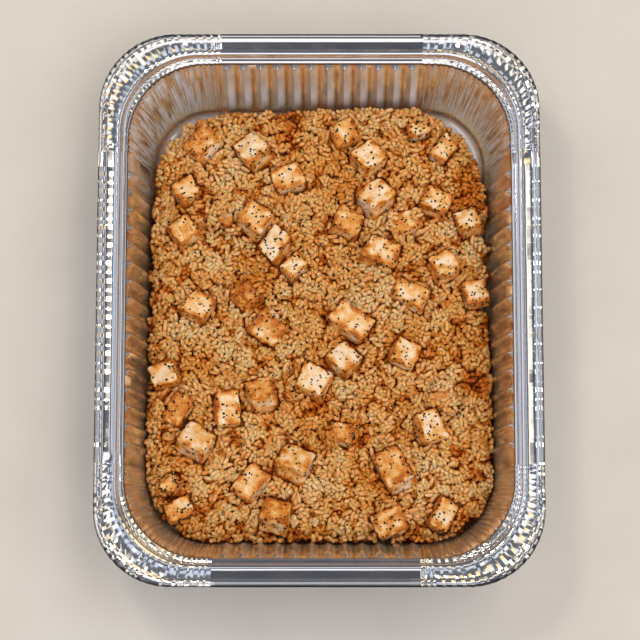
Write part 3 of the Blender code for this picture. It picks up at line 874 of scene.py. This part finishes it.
def settle_grains(pile, target, solid, generator):
    """Drops grains onto the raster wherever it is still low, until the heap has its form.

    Each row of the result is a grain's x, y, z, yaw, pitch and half length.
    """
    footprints = {}
    yaw_turn = 2 * math.pi / YAW_STEPS
    for size, half_length in enumerate(GRAIN_HALF_LENGTHS):
        for yaw in range(YAW_STEPS):
            for pitch, degrees in enumerate(PITCHES):
                turn = yaw * 2 * math.pi / YAW_STEPS
                footprints[size, yaw, pitch] = grain_footprint(half_length, turn, math.radians(degrees))
    x, y = raster_places()
    flow = coarse_noise(x, y, 21.0, 9.4) * 2.6 + coarse_noise(x, y, 60.0, 3.1) * 2.0
    grains = []
    tops = []
    for _ in range(GRAIN_ROUNDS):
        low = np.flatnonzero((pile < target - LOW) & ~solid)
        if len(low) < FEW_CELLS:
            break
        picks = generator.choice(low, min(TRIES_A_ROUND, len(low) // 4), replace=False)
        for pick in picks:
            row, column = divmod(int(pick), RASTER_COLUMNS)
            if pile[row, column] > target[row, column] - LOW:
                continue
            size = generator.integers(len(GRAIN_HALF_LENGTHS))
            best = None
            for _ in range(3):
                yaw = math.pi * flow[row, column] + generator.normal(0.0, YAW_SPREAD)
                up = round(SLOPE_REACH * math.sin(yaw) / CELL)
                across = round(SLOPE_REACH * math.cos(yaw) / CELL)
                climb = pile[row + up, column + across] - pile[row - up, column - across]
                rise = math.atan2(climb, 2 * SLOPE_REACH) + generator.normal(0.0, RISE_SPREAD)
                rise = np.clip(rise, -STEEPEST, STEEPEST)
                yaw_step = round(yaw / yaw_turn) % YAW_STEPS
                pitch_step = int(np.argmin([abs(math.radians(degrees) - rise) for degrees in PITCHES]))
                lower, upper, first, left = footprints[size, yaw_step, pitch_step]
                first, left = row + first, column + left
                under = pile[first:first + lower.shape[0], left:left + lower.shape[1]]
                height = float((under - lower).max())
                if best is None or height < best[0]:
                    best = (height, yaw, rise, upper, first, left)
            height, yaw, rise, upper, first, left = best
            if height + HALF_SUNK > target[row, column] + generator.uniform(0.0, STANDING_PROUD):
                continue
            place = pile[first:first + upper.shape[0], left:left + upper.shape[1]]
            np.maximum(place, height + upper, out=place)
            half_length = GRAIN_HALF_LENGTHS[size] * generator.uniform(0.94, 1.06)
            grains.append((x[row, column], y[row, column], height, yaw, rise, half_length))
            tops.append((first, left, height + upper))
    seen = [
        bool((top > pile[first:first + top.shape[0], left:left + top.shape[1]] - SEEN_DEPTH).any())
        for first, left, top in tops
    ]
    return np.array(grains)[seen]


def grain_shape():
    """Points and triangles of a plain grain along X, of unit half length and unit radius."""
    sides = 6
    stations = np.array((-0.93, -0.64, 0.0, 0.64, 0.93))
    girths = (1 - np.abs(stations) ** 4.0) ** 0.5
    turns = np.arange(sides) * 2 * math.pi / sides
    points = [(-1.0, 0.0, 0.0)]
    for station, girth in zip(stations, girths):
        points += [(station, girth * math.cos(turn), girth * math.sin(turn)) for turn in turns]
    points.append((1.0, 0.0, 0.0))
    faces = []
    last = len(points) - 1
    for side in range(sides):
        after = (side + 1) % sides
        faces.append((0, 1 + after, 1 + side))
        faces.append((last, last - sides + side, last - sides + after))
        for band in range(len(stations) - 1):
            near, far = 1 + band * sides, 1 + (band + 1) * sides
            faces.append((near + side, near + after, far + after))
            faces.append((near + side, far + after, far + side))
    return np.array(points), np.array(faces)


def grain_points(grains, generator):
    """The points of every grain, bent and tapered a little, each in its place."""
    shape, _ = grain_shape()
    count = len(grains)
    places = np.repeat(shape[None], count, 0)
    bend = generator.uniform(-0.3, 0.3, count)[:, None]
    taper = generator.uniform(-0.16, 0.16, count)[:, None]
    girth = GRAIN_RADIUS * generator.uniform(0.88, 1.06, count)[:, None]
    along = shape[None, :, 0]
    sizes = girth * (1 + taper * along)
    places[:, :, 1] = shape[None, :, 1] * sizes + bend * (along ** 2 - 0.4)
    places[:, :, 2] = shape[None, :, 2] * sizes * 0.95
    places[:, :, 0] = along * grains[:, 5:6]
    turns = np.array([rotation(yaw, pitch) for yaw, pitch in grains[:, 3:5]])
    points = np.einsum("nij,nkj->nki", turns, places) + grains[:, None, :3]
    sunk = np.maximum(0.0, FOIL + 0.05 - points[:, :, 2].min(1))
    points[:, :, 2] += sunk[:, None]
    return points


def grain_shades(grains, depths, generator):
    """How brown each grain is, from 0 for pale to 1 for dark: broad patches, saucy spots, and painted shade
    that browns the deeper grains in clefts.
    """
    flat = np.stack((grains[:, 0], grains[:, 1], np.zeros(len(grains))), 1)
    shade = 0.28 + 0.22 * noise_at(flat, 30.0, 1) + 0.26 * noise_at(flat, 10.0, 2)
    # Painted shade: the deeper a grain lies under the surface, the browner it is
    shade += generator.normal(0.0, 0.06, len(grains)) + 0.46 * smooth_step(0.2, 4.0, depths)
    for x, y, radius in SAUCY_SPOTS:
        away = np.hypot(grains[:, 0] - x, grains[:, 1] - y)
        shade += 0.3 * (1 - smooth_step(0.3 * radius, radius, away))
    return np.clip(shade, 0.02, 0.95)


def make_rice(grains, depths, material):
    """The loose grains, one piece for each tone."""
    generator = np.random.default_rng(21)
    _, faces = grain_shape()
    points = grain_points(grains, generator)
    shades = grain_shades(grains, depths, generator)
    order = np.argsort(shades)
    for tone, chosen in zip(TONES, np.array_split(order, len(TONES))):
        count = points.shape[1]
        shifts = (np.arange(len(chosen)) * count)[:, None, None]
        tone_faces = (faces[None] + shifts).reshape(-1, 3)
        piece = new_piece(
            f"rice_{tone}", points[chosen].reshape(-1, 3), [tone_faces], material, ["rice"],
        )
        set_attribute(piece, "shade", np.repeat(shades[chosen], count))


def heap_ring(inset, spacing):
    """Points round the heap at this inset from its outline, anticlockwise from above."""
    points = []
    for quadrant, (x, y, radius_x, radius_y) in enumerate(HEAP_CORNERS):
        for step in range(19):
            turn = math.radians(quadrant * 90 + step * 5)
            points.append((x + (radius_x - inset) * math.cos(turn), y + (radius_y - inset) * math.sin(turn)))
    points = np.array(points)
    closed = np.vstack((points, points[:1]))
    lengths = np.hypot(*np.diff(closed, axis=0).T)
    passed = np.concatenate(([0.0], np.cumsum(lengths)))
    stations = np.linspace(0.0, passed[-1], int(passed[-1] / spacing), endpoint=False)
    return np.stack([np.interp(stations, passed, closed[:, axis]) for axis in range(2)], 1)


def make_core(surface, material):
    """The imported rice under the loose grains: rings from its foot up its side and in to the middle."""
    generator = np.random.default_rng(5)
    outline = heap_ring(CORE_INSET, 2.6)
    count = len(outline)
    middle = outline.mean(0)
    foot = middle + (outline - middle) * 0.93
    layers = [
        np.column_stack((foot, np.full(count, CORE_FOOT))),
        np.column_stack((outline, np.full(count, CORE_SIDE))),
    ]
    for share in np.linspace(1.0, 0.03, CORE_RINGS):
        flat = middle + (outline - middle) * share
        flat += generator.uniform(-0.5, 0.5, flat.shape) * share
        relief = noise_at(np.column_stack((flat, np.zeros(count))), 3.0, 7) * 1.1
        layers.append(np.column_stack((flat, level_at(surface, flat) - CORE_DEPTH + relief)))
    top = float(level_at(surface, middle[None])[0]) - CORE_DEPTH
    points = np.concatenate((*layers, [(*middle, top), (*middle, CORE_FOOT)]))
    faces = [
        joined_rings(len(layers), count),
        fan((len(layers) - 1) * count, count, len(points) - 2),
        fan(0, count, len(points) - 1)[:, (1, 0, 2)],
    ]
    new_piece("rice_core", points, faces, material, ["rice"])


# Chicken

def cube_grid(divisions):
    """Points of a cube from -1 to 1 on every axis, and its quads facing out."""
    ticks = np.linspace(-1.0, 1.0, divisions + 1)
    places = {}
    quads = []
    for axis in range(3):
        for side in (-1.0, 1.0):
            names = np.empty((divisions + 1, divisions + 1), int)
            for i, first in enumerate(ticks):
                for j, second in enumerate(ticks):
                    point = [0.0, 0.0, 0.0]
                    point[axis] = side
                    point[(axis + 1) % 3] = float(first)
                    point[(axis + 2) % 3] = float(second)
                    names[i, j] = places.setdefault(tuple(round(value, 6) for value in point), len(places))
            a, b = names[:-1, :-1].ravel(), names[1:, :-1].ravel()
            c, d = names[1:, 1:].ravel(), names[:-1, 1:].ravel()
            quads.append(np.stack((a, b, c, d) if side > 0 else (a, d, c, b), 1))
    return np.array(list(places)), np.concatenate(quads)


def dice_frame(normals, reaches):
    """Three axes of a diced piece, one for each pair of cuts, scaled by half its size along them."""
    axes = []
    left = list(range(6))
    while left:
        first = left.pop()
        opposite = min(left, key=lambda other: float(normals[first] @ normals[other]))
        left.remove(opposite)
        axis = normals[first] - normals[opposite]
        axes.append(axis / np.linalg.norm(axis) * (reaches[first] + reaches[opposite]) / 2)
    axes = np.array(axes)
    if np.linalg.det(axes) < 0:
        axes[2] = -axes[2]
    return axes


def make_dice(number, planes, sear, grid, quads, material):
    """One diced piece: rounded edges, fibres on its pale cuts and crust on its seared sides."""
    centre, normals, reaches = planes
    directions = grid @ dice_frame(normals, reaches)
    shares = np.maximum(directions @ normals.T / reaches, 0.0)
    radius = (shares ** DICE_ROUNDNESS).sum(1) ** (1 / DICE_ROUNDNESS)
    points = directions / radius[:, None]
    ranked = np.sort(shares / shares.max(1, keepdims=True), 1)
    near_edge = smooth_step(0.5, 0.95, ranked[:, -2])
    facing = (shares ** DICE_ROUNDNESS)[:, :, None] * normals[None]
    facing = facing.sum(1)
    facing /= np.linalg.norm(facing, axis=1, keepdims=True)
    weights = facing ** 2
    x_side = np.where(facing[:, 0] > 0, sear.right, sear.left)
    y_side = np.where(facing[:, 1] < 0, sear.near, (sear.left + sear.right) / 2)
    z_side = np.where(facing[:, 2] > 0, sear.top, 0.6)
    tone = (weights * np.stack((x_side, y_side, z_side), 1)).sum(1)
    patches = noise_at(points, 4.2, number)
    tone += near_edge * np.clip(0.42 + 1.2 * patches, 0.0, 0.55)
    tone += 0.5 * noise_at(points, 5.0, number + 50) - 0.04
    fibres = noise_at(points @ np.diag((0.35, 1.0, 1.0)), 2.6, number + 100)
    lumps = noise_at(points, 7.0, number + 200) + 0.9 * noise_at(points, 13.0, number + 400)
    crust = noise_at(points, 2.4, number + 300)
    relief = 1.05 * lumps + 0.4 * fibres * (1 - tone) + 0.65 * crust * (0.4 + tone) - 0.3
    points = points + facing * relief[:, None] + centre
    name = f"chicken_{number:02d}"
    piece = new_piece(f"diced_{name}", points, [quads], material, [name])
    set_attribute(piece, "sear", np.clip(tone, 0.0, 1.0))
    return points, facing


# Pepper

def speck_shape(generator):
    """Points of one cracked speck: an uneven octahedron."""
    points = np.array(((1, 0, 0), (-1, 0, 0), (0, 1, 0), (0, -1, 0), (0, 0, 1), (0, 0, -1)), float)
    size = generator.uniform(0.45, 1.05)
    stretch = generator.uniform(0.8, 1.3)
    flat = generator.uniform(0.45, 0.8)
    return points * generator.uniform(0.6, 1.2, (6, 1)) * (size * stretch, size / stretch, size * flat)


def make_pepper(spots, material):
    """The cracked pepper: one speck at each spot, which is a point and the way out of the surface there."""
    generator = np.random.default_rng(31)
    octahedron = np.array((
        (0, 2, 4), (2, 1, 4), (1, 3, 4), (3, 0, 4), (2, 0, 5), (1, 2, 5), (3, 1, 5), (0, 3, 5),
    ))
    points = []
    faces = []
    for index, (spot, out) in enumerate(spots):
        turn = generator.uniform(0, 2 * math.pi)
        side = np.cross(out, (math.cos(turn), math.sin(turn), 0.3))
        side /= np.linalg.norm(side)
        basis = np.array((side, np.cross(out, side), out))
        points.append(speck_shape(generator) @ basis + spot + out * 0.15)
        faces.append(octahedron + 6 * index)
    new_piece(
        "pepper", np.concatenate(points), [np.concatenate(faces)], material, smooth=False,
    )


# Setting

def make_floor():
    """A plain pale floor."""
    size = 3.0
    mesh = bpy.data.meshes.new("floor")
    corners = [(-size, -size, 0.0), (size, -size, 0.0), (size, size, 0.0), (-size, size, 0.0)]
    mesh.from_pydata(corners, [], [(0, 1, 2, 3)])
    material, tree, shader = new_material("floor", Roughness=0.7)
    mottle = add_noise(tree, 60.0, detail=4.0)
    set_inputs(shader, Base_Color=add_ramp(tree, mottle, (0.3, 210, 206, 202), (0.7, 216, 213, 210)))
    mesh.materials.append(material)
    floor = bpy.data.objects.new("floor", mesh)
    bpy.context.scene.collection.objects.link(floor)


def make_world():
    """Soft surroundings with brighter panels on their sides, and dim straight above."""
    world = bpy.data.worlds.new("studio")
    world.use_nodes = True
    bpy.context.scene.world = world
    tree = world.node_tree
    way = add_node(tree, "ShaderNodeTexCoord").outputs["Generated"]
    colour = (*SURROUNDINGS, 1.0)
    for direction, reach, panel_colour in PANELS:
        middle = Vector(direction).normalized()
        shifted = add_operation(tree, "ShaderNodeVectorMath", "SUBTRACT", way, middle)["Vector"]
        stretched = add_operation(tree, "ShaderNodeVectorMath", "DIVIDE", shifted, reach)["Vector"]
        distance = add_operation(tree, "ShaderNodeVectorMath", "LENGTH", stretched)["Value"]
        share = add_node(tree, "ShaderNodeMapRange", Value=distance, From_Min=1.25, From_Max=0.75)
        share.interpolation_type = "SMOOTHSTEP"
        mixed = add_node(tree, "ShaderNodeMixRGB", Fac=share.outputs["Result"], Color1=colour)
        set_inputs(mixed, Color2=(*panel_colour, 1.0))
        colour = mixed.outputs["Color"]
    set_inputs(tree.nodes["Background"], Color=colour, Strength=1.0)


def add_light(name, place, size, power, colour, mirrored):
    """A square soft light that faces the tray."""
    light = bpy.data.lights.new(name, "AREA")
    light.shape = "SQUARE"
    light.size = size
    light.energy = power
    light.color = colour
    lamp = bpy.data.objects.new(name, light)
    lamp.location = place
    lamp.rotation_euler = (-Vector(place)).to_track_quat("-Z", "Y").to_euler()
    lamp.visible_glossy = mirrored
    bpy.context.scene.collection.objects.link(lamp)


def make_camera():
    """The camera above the tray, leaning a little towards the near end."""
    data = bpy.data.cameras.new("camera")
    data.lens = LENS
    data.sensor_width = 36.0
    camera = bpy.data.objects.new("camera", data)
    lean = Vector((0.0, -math.sin(CAMERA_TILT), math.cos(CAMERA_TILT)))
    camera.location = AIM + CAMERA_DISTANCE * lean
    camera.rotation_euler = (CAMERA_TILT, 0.0, 0.0)
    bpy.context.scene.collection.objects.link(camera)
    bpy.context.scene.camera = camera


def main():
    """Makes every piece and the setting."""
    generator = np.random.default_rng(17)
    make_camera()
    make_pan(foil_material(), outside_material())

    x, y = raster_places()
    edge, smooth, surface = heap_form(x, y)
    pile = pan_heights(x, y)
    inner = edge > CORE_INSET
    pile[inner] = np.maximum(pile, surface - CORE_DEPTH + CORE_COVER)[inner]
    target = np.where(edge > 0.0, surface + HEAP_LIFT + GRAIN_LIFT, NO_GRAINS)
    solid = np.zeros(x.shape, bool)
    dice = [dice_planes(f"chicken_{number:02d}") for number in range(1, len(SEARS) + 1)]
    for number, planes in enumerate(dice, start=1):
        covered = lay_dice(pile, x, y, planes)
        if number in BURIED_DICE:
            patches = smooth_step(-0.25, 0.15, coarse_noise(x, y, 9.0, number + 0.5))
            target[covered] += BURIED_COVER * patches[covered]
        else:
            solid |= covered
    make_core(surface, core_material())
    grains = settle_grains(pile, target, solid, generator)
    # How deep each grain lies, which sets its painted shade
    depths = level_at(smooth + UPPER_GRAINS, grains[:, :2]) - grains[:, 2]
    make_rice(grains, depths, rice_material())

    flesh = chicken_material()
    grid, quads = cube_grid(DICE_DIVISIONS)
    spots = []
    for number, (planes, sear) in enumerate(zip(dice, SEARS), start=1):
        points, ways = make_dice(number, planes, sear, grid, quads, flesh)
        upward = np.flatnonzero(ways[:, 2] > 0.1)
        for index in generator.choice(upward, SPECKS_A_DICE, replace=False):
            spots.append((points[index], ways[index]))
    for grain in grains[generator.choice(len(grains), SPECKS_ON_RICE, replace=False)]:
        out = np.array((*generator.uniform(-0.5, 0.5, 2), 1.0))
        out /= np.linalg.norm(out)
        spots.append((grain[:3] + out * GRAIN_RADIUS * 0.9, out))
    make_pepper(spots, pepper_material())

    make_floor()
    make_world()
    for light in LIGHTS:
        add_light(*light)
    bpy.context.scene.view_settings.view_transform = "Standard"


main()
